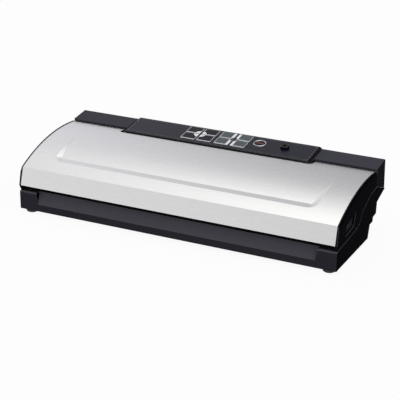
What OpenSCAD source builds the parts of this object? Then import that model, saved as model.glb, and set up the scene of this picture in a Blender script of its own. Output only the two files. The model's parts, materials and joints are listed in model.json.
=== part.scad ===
// Countertop vacuum sealer: a moulded base with a fixed rear bar and control
// panel, and a steel-covered lid that hinges just in front of the bar.
// Millimetres, +Z up, +X to the right of someone who stands in front.
// The shapes are drawn on a bench frame: y = 0 at the front edge of the lid,
// z = 0 at the underside of the base. in_frame() sets that on its feet, with
// the origin below the middle of the bounding box.

/* [Body] */
// Overall length
body_len = 385; // [350:1:420]
// Overall depth, front edge of the lid to the back wall
body_depth = 149.6; // [136:0.2:164]
// Height of the base's front face
front_h = 22.2; // [20:0.2:24]
// Setback of the base's front face from the lid's front edge
front_setback = 0.7; // [0.2:0.1:1.5]
// Wall of the moulded shells
wall = 2.4; // [1.8:0.2:3]
// Height of the rubber feet below the base
foot_h = 4; // [3:0.5:8]
// Radius of a foot
foot_r = 7; // [5:0.5:8]

/* [Lid] */
// Height of the roof's rear edge
roof_z = 70.5; // [64:0.25:77]
// Height of the crease between the steel's front and its roof
crease_z = 49.5; // [45:0.5:52]
// Setback of that crease from the steel's lower front edge
crease_y = 5.54; // [4:0.02:8]
// Height of the steel's lower front edge
lip_z = 29.1; // [28.5:0.1:30]
// Thickness of the steel cover
sheet = 0.8; // [0.5:0.1:1]
// Width of the black shoulder outside each end of the steel
shoulder_w = 2.2; // [1:0.1:2.5]
// Height of the bevel on that shoulder
shoulder_h = 4; // [2:0.5:6]
// Height of the shoulder's rim above the steel
rim_rise = 0.6; // [0.2:0.1:1]
// Thickness of the lid's end caps
cap_t = 3.2; // [2.4:0.2:4]
// Depth of the pressed panel at its front
press_depth = 1.5; // [0.8:0.1:2]
// Width of the pressed panel's sloping walls at its front
press_wall = 7; // [4:0.5:9]
// Radius of the pressed panel's front corners
press_corner = 12; // [11:0.5:16]
// Distance from each end of the body to the pressed panel
press_end = 32.5; // [28:0.5:50]

/* [Hinge] */
// Distance of the hinge line from the roof's rear edge
hinge_inset = 4; // [3.6:0.1:4.4]
// Distance of the hinge line below the roof's rear edge
hinge_drop = 4.5; // [4.3:0.1:4.9]
// Radius of the hinge pins
pin_r = 1.5; // [1.2:0.1:1.7]
// Radial play of the lid's knuckles on the pins
pin_play = 0.06; // [0.04:0.01:0.1]
// Distance from each end of the body to the middle of a hinge
hinge_end = 32.5; // [25:0.5:50]

/* [Control panel] */
// Length of the raised panel at its foot
panel_len = 236; // [212:1:260]
// Height of the panel above the bar
panel_rise = 2.1; // [1.5:0.1:3]
// Width of a key
key_w = 17.2; // [15:0.2:18]
// Depth of a key
key_d = 13.6; // [12:0.2:14]
// Gap between keys
key_gap = 3; // [2.4:0.1:3.6]
// Height of a key above the panel
key_rise = 0.8; // [0.6:0.1:1.5]
// Travel of a key
key_travel = 0.5; // [0.3:0.1:0.6]
// Radius of the round button's ring
ring_r = 7.6; // [6.5:0.1:8.5]
// Radius of the accessory port's collar
port_r = 5.2; // [4.4:0.1:6]
// Radius of the accessory port's bore
port_bore_r = 2; // [1.5:0.1:2.5]

/* [Sealing chamber] */
// Distance from each end of the body to the sealing bar
seal_end = 34.5; // [32:0.5:50]
// Distance of the sealing bar's middle from the front edge
seal_y = 20; // [18:0.5:21]
// Width of the sealing bar
seal_w = 9; // [7:0.5:10]
// Distance from each end of the body to the vacuum trough
trough_end = 36.5; // [34:0.5:55]
// Depth of the vacuum trough below the deck
trough_depth = 10; // [8:0.5:11]
// Width of the foam gaskets
gasket_w = 5; // [4:0.5:6]
// Distance from each end of the body to the foot of the bag ramp
ramp_end = 24; // [20:0.5:40]

/* [Release buttons] */
// Travel of a release button into the lid
release_travel = 2.5; // [1.5:0.1:3]
// Play around a release button
release_play = 0.35; // [0.3:0.05:0.5]

/* [Hidden] */

eps = 0.01;
gap = 0.3;          // between soft or moving neighbours
snug = 0.1;         // between fixed neighbours
fine = 48;          // segments of a small round part
ROUND = 400;        // segments of the roof's arcs
sky = roof_z + 20;  // above everything

half_len = body_len / 2;
y_face = front_setback;

// Roof: an arc from the crease to the lid's rear edge, level at roof_y.
roof_back = 52.6;
lid_back = 29.9;
roof_y = body_depth - roof_back;
lid_rear_y = body_depth - lid_back;
roof_fall = roof_z - crease_z;
roof_centre = [roof_y, (pow(lid_rear_y - roof_y, 2) - pow(roof_y - crease_y, 2)) / (2 * roof_fall)
  + (roof_z + crease_z) / 2];
roof_r = norm([lid_rear_y, roof_z] - roof_centre);
function roof(y) = roof_centre[1] + sqrt(pow(roof_r, 2) - pow(y - roof_y, 2));
// Setback of the steel's front face at height z.
function y_at(z) = crease_y * (z - lip_z) / (crease_z - lip_z);

hinge_y = lid_rear_y - hinge_inset;
hinge_z = roof_z - hinge_drop;
hinge_x = half_len - hinge_end;

// Bar: a flat top that rises a little to the rear, with a sloping back wall.
bar_back_d = 28.3;
bar_step = 2;
bar_lift = 3.7;
bar_lean = 1.7;
back_foot_z = 41.4;
bar_front = [body_depth - bar_back_d, roof_z + bar_step];
bar_back = [body_depth - bar_lean, bar_front[1] + bar_lift];
back_foot = [body_depth, back_foot_z];
rear_wall_y = bar_front[0] + wall / 2;   // front wall of the bar, behind the lid
tilt = atan2(bar_back[1] - bar_front[1], bar_back[0] - bar_front[0]);
function bar_top(y) = bar_front[1] + (y - bar_front[0]) * tan(tilt);

// Sealing chamber: the deck, the trough behind the sealing bar, the liner above.
deck_share = 0.4144;  // part of the depth that the deck takes
deck_drop = 0.4;
deck_z = front_h - deck_drop;
deck_y0 = y_face + 3.4;
deck_y1 = deck_share * body_depth;
deck_x = half_len - 9;
ramp_foot_z = 9;
ramp_depth = 8;
ramp_flare = 3.5;
ramp_x = half_len - ramp_end;
seal_x = half_len - seal_end;
trough_x = half_len - trough_end;
trough_y0 = seal_y + seal_w / 2 + gasket_w + 4;
trough_y1 = deck_y1 - gasket_w - 4;
channel_depth = 3;
liner_z = lip_z + 0.7;
seal_top = 27.2;
gasket_z = (deck_z + liner_z) / 2;
gasket_inset = 1.5;
tray_t = 1.2;
tape_t = 0.25;
heater_t = 0.3;
heater_w = 3;
bar_top_z = seal_top - 0.7;

// Parting line between the base and the lid, seen from the end.
seam_knots = [[y_face + wall, front_h], [deck_y1 - 26, front_h + 1.9], [deck_y1 - 2, front_h + 4.4],
  [deck_y1 + 6.7, front_h + 7.2], [deck_y1 + 13, 38], [deck_y1 + 24, 44.4], [bar_front[0] - 23.3, 48.9],
  [bar_front[0] - 11.8, 51.4], [bar_front[0] - gap, 53]];
SEAM_STEPS = 4;
function knot(p, i) = p[max(0, min(len(p) - 1, i))];
function blend(p, i, t) = 0.5 * (2 * knot(p, i) + (knot(p, i + 1) - knot(p, i - 1)) * t
  + (2 * knot(p, i - 1) - 5 * knot(p, i) + 4 * knot(p, i + 1) - knot(p, i + 2)) * pow(t, 2)
  + (3 * (knot(p, i) - knot(p, i + 1)) + knot(p, i + 2) - knot(p, i - 1)) * pow(t, 3));
function curve(p, n) = concat([for (i = [0:len(p) - 2]) for (k = [0:n - 1]) blend(p, i, k / n)], [p[len(p) - 1]]);
function backwards(p) = [for (i = [len(p) - 1:-1:0]) p[i]];
seam = curve(seam_knots, SEAM_STEPS);
seam_end_z = seam_knots[8][1];
seam_gap = 0.5;
lid_bottom = [for (q = seam) if (q[0] < lid_rear_y - 2) q + [0, seam_gap]];

// Under the rear overhang, from the bar's back wall down to the base.
underside = [[back_foot[0] - 0.4, back_foot[1]], [body_depth - 25.2, 33.8], [body_depth - 26.7, 21],
  [body_depth - 36.5, 19.7], [body_depth - 37, 14.8], [body_depth - 46, 14.8], [body_depth - 51, 0]];
base_rear = underside[6][0];

// Control panel plane
panel_back = 41.9;
notch_back = 43.6;
panel_y0 = body_depth - panel_back;
panel_y1 = bar_back[0];
panel_half = panel_len / 2;
panel_taper = 4;
fascia_t = 1.6;
fascia_end = 5;
fascia_half = panel_half - fascia_end;
fascia_y = [4.6, (panel_y1 - panel_y0) / cos(tilt) - 3];
notch_y = body_depth - notch_back;
notch_half = panel_half + 3;
notch_r = 5;
origin_z = bar_top(panel_y0) + panel_rise;
row_gap = 1.8;
row_y = [7.4, 7.4 + key_d + row_gap];   // front edges of the two rows, up the slope
group_x = [-45, -2.6];                  // left edges of the two groups
function key_left(i) = group_x[floor(i / 2)] + (i % 2) * (key_w + key_gap);
ring_at = [48, 24];
ring_t = 1.4;
port_at = [panel_half - 39.5, 24];
port_depth = 14;
port_rise = 2.8;
spigot_t = 1.2;
switch_h = 2.4;
switch_w = 6;
switch_body_h = 1.6;
board_z = -7.6;
board_t = 1.6;
switch_z = board_z + switch_h;
stem_r = 1.8;
stem_z = switch_z + key_travel + 0.2;
flange_t = 1;
flange_w = 0.8;
board_x = [-56, port_at[0] - 12.5];
board_y = [8, 33];
pillar_r = 2;
switch_at = concat([for (i = [0:3], row = [0, 1]) [key_left(i) + key_w / 2, row_y[row] + key_d / 2]], [ring_at]);

// Lid
press_x = half_len - press_end;
press_y0 = 21.5;
press_back = 39.4;
press_y1 = lid_rear_y - press_back;
press_reach = (press_y1 - press_y0 - press_wall) / cos(asin((roof_y - press_y1) / roof_r));
dish_r = 1 / (2 * press_depth / pow(press_reach, 2) + 1 / roof_r);
steel_half = half_len - shoulder_w;
cap_x = half_len - cap_t;
rib_t = 2;
liner_half = cap_x - snug;
liner_t = 2.2;
liner_rear = notch_y - 0.6;
lid_screw_r = 1.1;
lid_screw_head_r = 2.2;
lid_screw_at = [[16, 42], [notch_y - 18, 60]];

// Release button on the lid's end
button_pts = [[25.7, 30.6], [48.9, 33.4], [54.4, 46.6], [26.6, 42.2]];
button_sink = 1.4;
flange_x = cap_x - gap;
lip_w = 1.2;
hook_t = 2;
hook_y = [37, 43];
hook_depth = 6;
hook_play = 0.8;
hook_z = liner_z - 5.4 - hook_depth;
hook_x = flange_x - 1.6 - lip_w;
// pocket for the hook in the base
slot_x = [hook_x - release_travel - hook_play, flange_x + 0.6];
slot_y = [hook_y[0] - 2, hook_y[1] + 2];
slot_depth = 7.6;

// Fastenings of the base
boss_r = 4;
boss_x = half_len - 20.5;
boss_at = [[-boss_x, 26], [boss_x, 26], [-boss_x, base_rear - 18.6], [boss_x, base_rear - 18.6],
  [0, deck_y1], [0, 15]];
screw_r = 1.4;
screw_len = 11;
screw_head_r = 2.8;
screw_head_h = 1.4;
slot_w = 0.6;
cover_gap = 0.2;
foot_at = [[half_len - 10.5, 9.6], [half_len - 10.5, base_rear - 10.6]];
ear_t = 4;
knuckle_w = 11;
ear_r = hinge_drop - sheet - 0.5;

// Works inside the base, between the deck's rear wall and the rear foot
floor_z = wall;
works_y0 = deck_y1 + 6;
works_y1 = base_rear - 3.1;
pump_y = [works_y0 + 3.5, works_y1 - 0.5];
pump_x = -half_len + 50.5;
pump_l = 28;
pump_h = 22;
motor_r = (pump_y[1] - pump_y[0]) * 0.51;
motor_l = 40;
motor_at = [(pump_y[0] + pump_y[1]) / 2, floor_z + motor_r + 3];
transformer_x = 64;
transformer_l = 42;
transformer_y = [works_y0 + 5, works_y1 - 0.5];
transformer_h = 27;
winding_l = 22;
winding_h = 15;
board_foot = 4;
main_board_x = [-40, 48];
post_r = 2.5;
post_at = [for (x = [main_board_x[0] + 4, main_board_x[1] - 4], y = [works_y0 + 4, works_y1 - 3.5]) [x, y]];
relay = [12, 12];
capacitor_r = 5;
capacitor_h = 16;
suction_x = pump_x + 16;
valve_x = half_len - 54.5;
valve_y = works_y0 + 4;
valve_w = 18;
valve_d = works_y1 - valve_y - 5.5;
valve_h = 16;
cap_h = 5;
nipple_h = 3;
hose_r = 2.6;
hose_bore_r = 1.5;
hose_z = deck_z - wall - hose_r - gap;
hose_levels = [45.4, 33];
hose_back_y = body_depth - 37.6;
bend_r = 6;
port_tail = [port_at[0], panel_y0 + port_at[1] * cos(tilt) + port_depth * sin(tilt),
  origin_z + port_at[1] * sin(tilt) - port_depth * cos(tilt)];
vent_x = half_len - 52.5;
vent_step = 8;
vent_y = [40, deck_y1];

// Cord's way out, square to the step under the overhang
gland_x = -half_len + 42.5;
gland_r = 5;
gland_bore_r = 3;
gland_out = 4;
step_mid = (underside[1] + underside[2]) / 2;
step_tilt = atan2(underside[1][0] - underside[2][0], underside[1][1] - underside[2][1]);

module in_frame() {
  translate([0, -body_depth / 2, foot_h]) children();
}

// A YZ outline drawn as [y, z], carried along X and centred.
module along_x(length) {
  rotate([90, 0, 90]) linear_extrude(length, center = true) children();
}

// A YZ outline drawn as [y, z], carried from x0 to x1.
module from_x(x0, x1) {
  translate([x0, 0, 0]) rotate([90, 0, 90]) linear_extrude(x1 - x0) children();
}

module both_ends() {
  children();
  mirror([1, 0, 0]) children();
}

// Local frame of the panel: x along it, y up its slope, z out of it.
module on_panel() {
  translate([0, panel_y0, origin_z]) rotate([tilt, 0, 0]) children();
}

// A box from corner a to corner b.
module block(a, b) {
  translate(a) cube(b - a);
}

module rounded_rect(x0, x1, y0, y1, r) {
  union() {
    translate([x0 + r, y0]) square([x1 - x0 - 2 * r, y1 - y0]);
    translate([x0, y0 + r]) square([x1 - x0, y1 - y0 - 2 * r]);
    for (x = [x0 + r, x1 - r], y = [y0 + r, y1 - r])
      translate([x, y]) circle(r = r, $fn = fine);
  }
}

// ---------------------------------------------------------------- base

// Outside of the base, from the front's foot over the parting line to the rear.
module base_outline() {
  polygon(concat([[y_face + 0.8, 0], [y_face, 0.8], [y_face, front_h - 1.3], [y_face + 1, front_h]],
    seam, underside));
}

// Hollow of the base, one wall inside that.
module base_hollow() {
  back = back_foot[0] - wall - cover_gap;
  polygon(concat(
    [[y_face + wall, -1], [y_face + wall, ramp_foot_z - 2], [y_face + ramp_depth + wall, deck_z - wall],
      [deck_y1 + wall, deck_z - wall]],
    [for (q = seam) if (q[0] > deck_y1 + 4 && q[0] < rear_wall_y - wall) q + wall * [0.4, -1.15]],
    [[rear_wall_y + wall, seam_end_z - 2 * wall], [rear_wall_y + wall, seam_end_z + 7], [back, seam_end_z + 7],
      [back, back_foot[1] + 0.8 * wall], underside[1] + [-gap, wall]],
    [for (i = [1:4]) underside[i] + [-wall, wall]],
    [underside[5] + [0.6 - wall, wall], [base_rear - wall, -1]]));
}

// Ramp that guides the bag's mouth over the front edge.
module ramp_cut() {
  intersection() {
    along_x(body_len) polygon([[-1, ramp_foot_z], [y_face, ramp_foot_z], [y_face + ramp_depth, deck_z],
      [y_face + ramp_depth, lip_z], [-1, lip_z]]);
    rotate([90, 0, 0]) linear_extrude(body_depth, center = true)
      polygon([[-ramp_x, ramp_foot_z], [ramp_x, ramp_foot_z], [ramp_x + ramp_flare, lip_z],
        [-ramp_x - ramp_flare, lip_z]]);
  }
}

module hinge_ears() {
  foot = seam_knots[7][1] - 1;
  for (side = [-1, 1])
    translate([hinge_x + side * (knuckle_w / 2 + gap + ear_t / 2), 0, 0])
      along_x(ear_t) {
        translate([hinge_y, hinge_z]) circle(r = ear_r, $fn = fine);
        translate([hinge_y - ear_r, foot]) square([2 * ear_r, hinge_z - foot]);
      }
}

module gland_hole(r, from, to) {
  translate([gland_x, step_mid[0], step_mid[1]]) rotate([-90 - step_tilt, 0, 0]) translate([0, 0, from])
    cylinder(r = r, h = to - from, $fn = fine);
}

module at_bosses() {
  for (p = boss_at) translate(concat(p, [0])) children();
}

// Walls that hang below the deck: trough, bar channel, hook pockets, screw bosses.
module base_walls() {
  block([-trough_x - wall, trough_y0 - wall, deck_z - trough_depth - wall],
    [trough_x + wall, trough_y1 + wall, deck_z]);
  block([-seal_x - wall - 1, seal_y - seal_w / 2 - wall, deck_z - channel_depth - wall],
    [seal_x + wall + 1, seal_y + seal_w / 2 + wall, deck_z]);
  both_ends() block([slot_x[0] - wall, slot_y[0] - wall, deck_z - slot_depth - wall],
    [half_len - 1, slot_y[1] + wall, deck_z]);
  intersection() {
    along_x(body_len) base_outline();
    at_bosses() translate([0, 0, wall + eps]) cylinder(r = boss_r, h = sky, $fn = fine);
  }
}

module base_housing() color("#4a4850") in_frame() difference() {
  union() {
    difference() {
      along_x(body_len) base_outline();
      along_x(body_len - 2 * wall) base_hollow();
    }
    base_walls();
    both_ends() hinge_ears();
  }
  // deck of the chamber, between the end walls
  block([-deck_x, deck_y0, deck_z], [deck_x, deck_y1, sky]);
  ramp_cut();
  block([-trough_x, trough_y0, deck_z - trough_depth], [trough_x, trough_y1, sky]);
  block([-seal_x - gap, seal_y - seal_w / 2 - snug, deck_z - channel_depth],
    [seal_x + gap, seal_y + seal_w / 2 + snug, sky]);
  both_ends() block([slot_x[0], slot_y[0], deck_z - slot_depth], [slot_x[1], slot_y[1], lip_z]);
  at_bosses() translate([0, 0, -1]) cylinder(r = screw_r, h = screw_len + 2, $fn = fine);
  // bores to the trough for the two hoses
  for (x = [suction_x, valve_x]) translate([x, trough_y1 - 1, hose_z]) rotate([-90, 0, 0])
    cylinder(r = hose_bore_r, h = wall + 2, $fn = fine);
  both_ends() translate([hinge_x, hinge_y, hinge_z]) rotate([0, 90, 0])
    cylinder(r = pin_r, h = 3 * knuckle_w, center = true, $fn = fine);
  gland_hole(gland_r, -3 * wall, gland_out);
}

module bottom_cover() color("#2c2c30") in_frame() difference() {
  union() {
    block([-half_len + wall + cover_gap, y_face + wall + cover_gap, 0],
      [half_len - wall - cover_gap, base_rear - wall - cover_gap, wall]);
    for (p = post_at) translate([p[0], p[1], wall - eps]) cylinder(r = post_r, h = board_foot + eps, $fn = fine);
  }
  at_bosses() translate([0, 0, -1]) {
    cylinder(r = screw_r + cover_gap, h = wall + 2, $fn = fine);
    cylinder(r = screw_head_r + cover_gap, h = screw_head_h + 1, $fn = fine);
  }
  // cooling slots
  for (x = [-vent_x:vent_step:vent_x]) if (abs(x) > 2.5 * vent_step)
    block([x, vent_y[0], -1], [x + 3, vent_y[1], wall + 1]);
}

module bottom_screws() color("#b9bcc2") in_frame() at_bosses() difference() {
  union() {
    cylinder(r = screw_r, h = screw_len, $fn = fine);
    cylinder(r = screw_head_r, h = screw_head_h, $fn = fine);
  }
  for (turn = [0, 90]) rotate([0, 0, turn])
    translate([-1.3 * screw_r, -slot_w / 2, -eps]) cube([2.6 * screw_r, slot_w, slot_w]);
}

module feet() color("#232325") in_frame() both_ends() for (p = foot_at) translate([p[0], p[1], -foot_h])
  rotate_extrude($fn = fine) polygon([[0, 0], [foot_r - 1.2, 0], [foot_r, 0.9], [foot_r, foot_h], [0, foot_h]]);

// Rear shell: the flat bar, its end faces and the back wall.
module rear_outline() {
  polygon([seam_knots[8] + [gap, snug], [rear_wall_y, seam_end_z + 3], [rear_wall_y, bar_front[1] - 0.8],
    bar_front - [0, 0.4], bar_front, bar_back - [1, tan(tilt)], bar_back + [snug, -1],
    back_foot, underside[0] + [0, snug]]);
}

module rear_hollow() {
  y0 = rear_wall_y + wall;
  y1 = bar_back[0] - wall;
  polygon([[y0, seam_end_z - 4], [y0, bar_top(y0) - wall], [y1, bar_top(y1) - wall],
    [back_foot[0] - wall, back_foot[1] - 2]]);
}

rear_inset = 0.9;

module rear_cover() color("#39383d") in_frame() difference() {
  along_x(body_len - 2 * rear_inset) rear_outline();
  along_x(body_len - 2 * (rear_inset + wall)) rear_hollow();
  block([-panel_half - cover_gap, notch_y, seam_end_z - 3], [panel_half + cover_gap, bar_back[0] - wall, sky]);
}

// ------------------------------------------------------- control panel

// Raised housing of the panel, hollow, set into the bar.
module control_outline() {
  seat = panel_y1 - wall - snug;
  polygon(concat([[panel_y0, origin_z - 2.2], [panel_y0 + 2, origin_z + 2 * tan(tilt)],
    [panel_y1 - 1, bar_top(panel_y1 - 1) + panel_rise], [panel_y1, bar_top(panel_y1) + panel_rise - 1],
    [panel_y1, bar_top(panel_y1) + snug], [seat, bar_top(panel_y1) + snug],
    [seat, seam_end_z + 7], [panel_y0 + 16, seam_end_z + 7]],
    backwards([for (q = seam) if (q[0] > panel_y0) q + [0, snug / 2]]),
    [[panel_y0, lookup(panel_y0, seam) + snug / 2]]));
}

module control_hollow() {
  y0 = panel_y0 + wall;
  y1 = panel_y1 - wall - 2;
  roof_t = fascia_t + 1.4;
  polygon([[y0, seam_end_z - 13], [y0, origin_z - 3.4], [y0 + 1.2, origin_z + 3.6 * tan(tilt) - roof_t],
    [y1, bar_top(y1) + panel_rise - roof_t], [y1, seam_end_z - 13]]);
}

// Ends of the housing: upright up to the bar, a bevel above it.
module panel_sides() {
  top_half = panel_half - panel_taper;
  low = -panel_rise - 0.4;
  on_panel() rotate([90, 0, 0]) linear_extrude(3 * body_depth, center = true)
    polygon([[-panel_half, -sky], [-panel_half, low], [-top_half, 0], [-top_half, 1],
      [top_half, 1], [top_half, 0], [panel_half, low], [panel_half, -sky]]);
}

module control_housing() color("#2f2e35") in_frame() difference() {
  intersection() {
    along_x(panel_len) control_outline();
    panel_sides();
  }
  along_x(panel_len - 2 * wall - 2) control_hollow();
  on_panel() {
    block([-fascia_half, fascia_y[0], -fascia_t], [fascia_half, fascia_y[1], 2 * panel_rise]);
    block([-fascia_half + 2, fascia_y[0] + 1, board_z - board_t], [fascia_half - 2, fascia_y[1] - 1, 0]);
  }
}

module key_plan(i, row, grow) {
  translate([key_left(i) - grow, row_y[row] - grow]) square([key_w + 2 * grow, key_d + 2 * grow]);
}

module control_panel() color("#35353d") in_frame() on_panel() difference() {
  block([-fascia_half + cover_gap, fascia_y[0] + cover_gap, eps - fascia_t],
    [fascia_half - cover_gap, fascia_y[1] - cover_gap, eps]);
  translate([0, 0, board_z]) {
    for (i = [0:3], row = [0, 1]) linear_extrude(-2 * board_z) key_plan(i, row, gap);
    translate(ring_at) cylinder(r = ring_r, h = -2 * board_z, $fn = 2 * fine);
    translate(port_at) cylinder(r = port_r - spigot_t + 0.2, h = -2 * board_z, $fn = 2 * fine);
  }
}

module stem() {
  translate([0, 0, stem_z]) cylinder(r = stem_r, h = -fascia_t - 0.1 - stem_z, $fn = fine);
}

// A key: cap above, a flange that keeps it in, and a stem over its switch.
module key(i, row) on_panel() translate([key_left(i), row_y[row], 0]) {
  block([0, 0, -fascia_t - 0.4], [key_w, key_d, key_rise]);
  block([-flange_w, row_gap - gap, -fascia_t - flange_t - 0.2],
    [key_w + flange_w, key_d - row_gap + gap, -fascia_t - 0.2]);
  translate([key_w / 2, key_d / 2, 0]) stem();
}

module key_rear_1() color("#3a3a44") in_frame() key(0, 1);
module key_rear_2() color("#3a3a44") in_frame() key(1, 1);
module key_rear_3() color("#6d7a7c") in_frame() key(2, 1);
module key_rear_4() color("#6d7a7c") in_frame() key(3, 1);
module key_front_1() color("#3a3a44") in_frame() key(0, 0);
module key_front_2() color("#3a3a44") in_frame() key(1, 0);
module key_front_3() color("#6d7a7c") in_frame() key(2, 0);
module key_front_4() color("#6d7a7c") in_frame() key(3, 0);

module button_ring() color("#c9ccd0") in_frame() on_panel() translate(ring_at)
  rotate_extrude($fn = 2 * fine) polygon([[ring_r - ring_t, -fascia_t], [ring_r, -fascia_t], [ring_r, 0.5],
    [ring_r - 0.5, 1], [ring_r - 0.9, 1], [ring_r - ring_t, 0.5]]);

module round_button() color("#3b2328") in_frame() on_panel() translate(ring_at) {
  translate([0, 0, -fascia_t - flange_t]) cylinder(r = ring_r - ring_t - gap, h = fascia_t + 1.5, $fn = 2 * fine);
  translate([0, 0, -fascia_t - flange_t - 0.2]) cylinder(r = ring_r + 0.6, h = flange_t, $fn = 2 * fine);
  stem();
}

module accessory_port() color("#17171a") in_frame() on_panel() translate(port_at)
  rotate_extrude($fn = 2 * fine) polygon([[port_bore_r, -port_depth], [port_bore_r + spigot_t, -port_depth],
    [port_bore_r + spigot_t, -5], [port_r - spigot_t, -4], [port_r - spigot_t, snug / 2], [port_r, snug / 2],
    [port_r, port_rise - 0.6], [port_r - 0.6, port_rise], [port_bore_r, port_rise]]);

module key_switches() color("#e3e0d6") in_frame() on_panel() for (p = switch_at) translate([p[0], p[1], board_z]) {
  translate([-switch_w / 2, -switch_w / 2, 0]) cube([switch_w, switch_w, switch_body_h]);
  translate([0, 0, switch_body_h - eps]) cylinder(r = switch_w / 4, h = switch_h - switch_body_h + eps, $fn = fine);
}

module key_board() color("#2d6a3c") in_frame() on_panel() {
  block([board_x[0], board_y[0], board_z - board_t], [board_x[1], board_y[1], board_z]);
  // pillars that carry the board from below the panel
  for (x = [board_x[0] + 4, board_x[1] - 4], y = [board_y[0] + 3, board_y[1] - 2]) translate([x, y, board_z - eps])
    cylinder(r = pillar_r, h = -fascia_t - board_z + eps - snug / 2, $fn = fine);
}

// ------------------------------------------------------ sealing chamber

module gasket_ring(z0, z1) {
  x1 = trough_x + gasket_inset + gasket_w;
  y0 = trough_y0 - gasket_inset - gasket_w;
  y1 = trough_y1 + gasket_inset + gasket_w;
  translate([0, 0, z0]) linear_extrude(z1 - z0) difference() {
    rounded_rect(-x1, x1, y0, y1, gasket_w + 1);
    rounded_rect(-x1 + gasket_w, x1 - gasket_w, y0 + gasket_w, y1 - gasket_w, 1);
  }
}

module lower_gasket() color("#1d1d1f") in_frame() gasket_ring(deck_z, gasket_z - gap / 2);

module upper_gasket() color("#1d1d1f") in_frame() gasket_ring(gasket_z + gap / 2, liner_z);

module drip_tray() color("#d9dbe0") in_frame() difference() {
  x = trough_x - gap;
  y0 = trough_y0 + gap;
  y1 = trough_y1 - gap;
  z = deck_z - trough_depth;
  block([-x, y0, z], [x, y1, deck_z - 1]);
  block([-x + tray_t, y0 + tray_t, z + tray_t], [x - tray_t, y1 - tray_t, deck_z]);
  // cut-outs that leave the two suction bores open
  for (bx = [suction_x, valve_x]) block([bx - 4, y1 - 2, hose_z - 3.4], [bx + 4, y1 + 2, deck_z]);
}

module sealing_bar() color("#a9acb2") in_frame() along_x(2 * seal_x) difference() {
  translate([seal_y - seal_w / 2, deck_z - channel_depth]) square([seal_w, bar_top_z - deck_z + channel_depth]);
  for (side = [-1, 1]) translate([seal_y + side * seal_w / 2 - 1, deck_z + 0.6]) square([2, 1.6]);
}

module heating_strip() color("#c7b48a") in_frame()
  block([-seal_x + 2, seal_y - heater_w / 2, bar_top_z], [seal_x - 2, seal_y + heater_w / 2, bar_top_z + heater_t]);

module ptfe_tape() color("#8a6a45") in_frame() along_x(2 * seal_x - 1) difference() {
  translate([seal_y - seal_w / 2 - tape_t, bar_top_z - 1.8]) square([seal_w + 2 * tape_t, 1.8 + heater_t + tape_t]);
  translate([seal_y - seal_w / 2, bar_top_z - 3]) square([seal_w, 3]);
  translate([seal_y - heater_w / 2, bar_top_z - 3]) square([heater_w, 3 + heater_t]);
}

module bag_stops() color("#2c2c30") in_frame() both_ends()
  translate([trough_x + gasket_inset + gasket_w + 5.5, seal_y - 4, deck_z]) difference() {
    cube([3, 12, 4.6]);
    translate([-1, -1, 4.6]) rotate([35, 0, 0]) cube([5, 10, 6]);
  }

// ------------------------------------------------- works inside the base

module vacuum_pump() color("#2f3033") in_frame() translate([pump_x, 0, floor_z + 2]) {
  block([0, pump_y[0], 0], [pump_l, pump_y[1], pump_h]);
  block([3, pump_y[0] + 2, pump_h - eps], [pump_l - 3, pump_y[1] - 2, pump_h + 2]);
  for (x = [5, pump_l - 5], y = [pump_y[0] + 4, pump_y[1] - 4])
    translate([x, y, pump_h + 2 - eps]) cylinder(r = 1.8, h = 1.2, $fn = fine);
}

module at_motor() {
  translate([pump_x + pump_l, motor_at[0], motor_at[1]]) rotate([0, 90, 0]) children();
}

module pump_motor() color("#b4b7bd") in_frame() at_motor() {
  cylinder(r = motor_r, h = motor_l, $fn = 2 * fine);
  translate([0, 0, motor_l - eps]) cylinder(r = motor_r * 0.42, h = 3, $fn = fine);
  translate([0, 0, motor_l + 3 - 2 * eps]) cylinder(r = pin_r, h = 3, $fn = fine);
}

module pump_bracket() color("#8f949b") in_frame() difference() {
  union() {
    block([pump_x, pump_y[0] - 1, floor_z], [pump_x + pump_l + motor_l + 2, pump_y[1], floor_z + 2]);
    block([pump_x + pump_l + 8, pump_y[0], floor_z], [pump_x + pump_l + motor_l - 6, pump_y[1], motor_at[1] - 3]);
  }
  at_motor() translate([0, 0, -1]) cylinder(r = motor_r + 0.05, h = motor_l + 10, $fn = 2 * fine);
}

module transformer() color("#6b6258") in_frame() translate([transformer_x, transformer_y[0], floor_z]) {
  depth = transformer_y[1] - transformer_y[0];
  leg = (transformer_l - winding_l) / 2;
  difference() {
    cube([transformer_l, depth, transformer_h]);
    block([leg, -1, winding_h * 0.4], [leg + winding_l, depth + 1, winding_h * 1.4]);
  }
  block([leg, 2, winding_h * 0.4], [leg + winding_l, depth - 2, winding_h * 1.4]);
  block([-4, depth / 3, 0], [transformer_l + 4, depth * 2 / 3, board_t]);
}

module control_board() color("#2d6a3c") in_frame() translate([0, 0, floor_z + board_foot]) {
  x0 = main_board_x[0];
  mid = (works_y0 + works_y1) / 2;
  block([x0, works_y0, 0], [main_board_x[1], works_y1, board_t]);
  translate([0, 0, board_t - eps]) {
    for (x = [x0 + 10, x0 + 26]) block([x, mid - relay[0] / 2, 0], [x + relay[0], mid + relay[0] / 2, relay[1]]);
    for (x = [x0 + 50, x0 + 62]) translate([x, mid, 0]) cylinder(r = capacitor_r, h = capacitor_h, $fn = fine);
    block([x0 + 71, mid - relay[0] / 2, 0], [x0 + 79, mid + relay[0] / 2, relay[1] - 2]);
  }
}

module release_valve() color("#3d3f44") in_frame() translate([valve_x - valve_w / 2, valve_y, floor_z]) {
  cube([valve_w, valve_d, valve_h]);
  translate([valve_w / 2, valve_d / 2, valve_h - eps]) {
    cylinder(r = valve_d / 3, h = cap_h, $fn = fine);
    translate([0, 0, cap_h - eps]) cylinder(r = hose_bore_r, h = nipple_h, $fn = fine);
  }
}

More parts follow.
